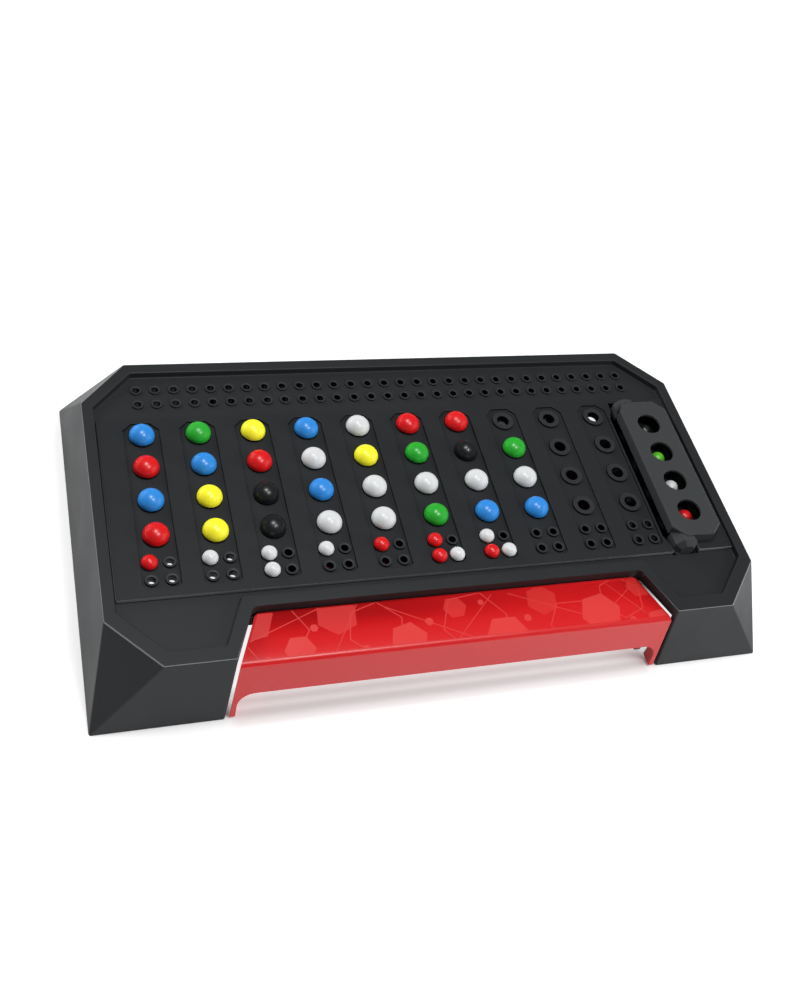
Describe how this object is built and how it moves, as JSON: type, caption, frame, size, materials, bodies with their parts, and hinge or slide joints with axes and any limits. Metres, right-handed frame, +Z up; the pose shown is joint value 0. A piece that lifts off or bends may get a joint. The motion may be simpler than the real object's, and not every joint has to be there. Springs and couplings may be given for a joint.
{
  "type": "code-breaking peg game",
  "caption": "Table-top code-breaking peg game: facetted black board with lanes of ringed peg holes, a hinged shield over the hidden code, coloured pegs and a red pull-out drawer",
  "frame": {"origin": "centre of the housing's base rectangle, on the table", "axes": "+X along the board to the player's right, +Y across it away from the player (the drawer opens towards -Y), +Z up out of the playing face"},
  "size_m": [0.2516, 0.138, 0.0352],
  "materials": {
    "housing_black": "satin",
    "panel_black": "satin",
    "shield_black": "satin",
    "drawer_red": "gloss",
    "steel": "brushed",
    "peg_blue": "gloss",
    "peg_red": "gloss",
    "peg_green": "gloss",
    "peg_yellow": "gloss",
    "peg_white": "gloss",
    "peg_black": "gloss",
    "peg_lime": "gloss",
    "peg_orange": "gloss",
    "peg_sky_blue": "gloss"
  },
  "bodies": {
    "board": {"top_housing": "housing_black", "play_panel": "panel_black", "drawer_runner_left": "housing_black", "drawer_runner_right": "housing_black", "runner_screws": "steel"},
    "shield": {"code_shield": "shield_black", "hinge_pins": "steel"},
    "drawer": {"drawer_front": "drawer_red", "drawer_tray": "drawer_red", "drawer_screws": "steel", "spare_peg_red": "peg_red", "spare_peg_lime": "peg_lime", "spare_peg_orange": "peg_orange", "spare_peg_sky_blue": "peg_sky_blue"},
    "blue_code_pegs": {"code_pegs_blue": "peg_blue"},
    "red_code_pegs": {"code_pegs_red": "peg_red"},
    "green_code_pegs": {"code_pegs_green": "peg_green"},
    "yellow_code_pegs": {"code_pegs_yellow": "peg_yellow"},
    "white_code_pegs": {"code_pegs_white": "peg_white"},
    "black_code_pegs": {"code_pegs_black": "peg_black"},
    "lime_code_pegs": {"code_peg_lime": "peg_lime"},
    "red_key_pegs": {"key_pegs_red": "peg_red"},
    "white_key_pegs": {"key_pegs_white": "peg_white"}
  },
  "joints": [
    {"name": "shield_hinge", "type": "hinge", "parent": "board", "child": "shield", "pos_m": [0.09509, -0.00089, 0.0298], "axis": [0, -1, 0], "range_deg": [0, 100]},
    {"name": "drawer_slide", "type": "slide", "parent": "board", "child": "drawer", "axis": [0, -1, 0], "range_m": [0, 0.06]},
    {"name": "blue_code_pegs_lift", "type": "slide", "parent": "board", "child": "blue_code_pegs", "axis": [0, 0, 1], "range_m": [0, 0.012]},
    {"name": "red_code_pegs_lift", "type": "slide", "parent": "board", "child": "red_code_pegs", "axis": [0, 0, 1], "range_m": [0, 0.012]},
    {"name": "green_code_pegs_lift", "type": "slide", "parent": "board", "child": "green_code_pegs", "axis": [0, 0, 1], "range_m": [0, 0.012]},
    {"name": "yellow_code_pegs_lift", "type": "slide", "parent": "board", "child": "yellow_code_pegs", "axis": [0, 0, 1], "range_m": [0, 0.012]},
    {"name": "white_code_pegs_lift", "type": "slide", "parent": "board", "child": "white_code_pegs", "axis": [0, 0, 1], "range_m": [0, 0.012]},
    {"name": "black_code_pegs_lift", "type": "slide", "parent": "board", "child": "black_code_pegs", "axis": [0, 0, 1], "range_m": [0, 0.012]},
    {"name": "lime_code_pegs_lift", "type": "slide", "parent": "board", "child": "lime_code_pegs", "axis": [0, 0, 1], "range_m": [0, 0.012]},
    {"name": "red_key_pegs_lift", "type": "slide", "parent": "board", "child": "red_key_pegs", "axis": [0, 0, 1], "range_m": [0, 0.012]},
    {"name": "white_key_pegs_lift", "type": "slide", "parent": "board", "child": "white_key_pegs", "axis": [0, 0, 1], "range_m": [0, 0.012]}
  ]
}
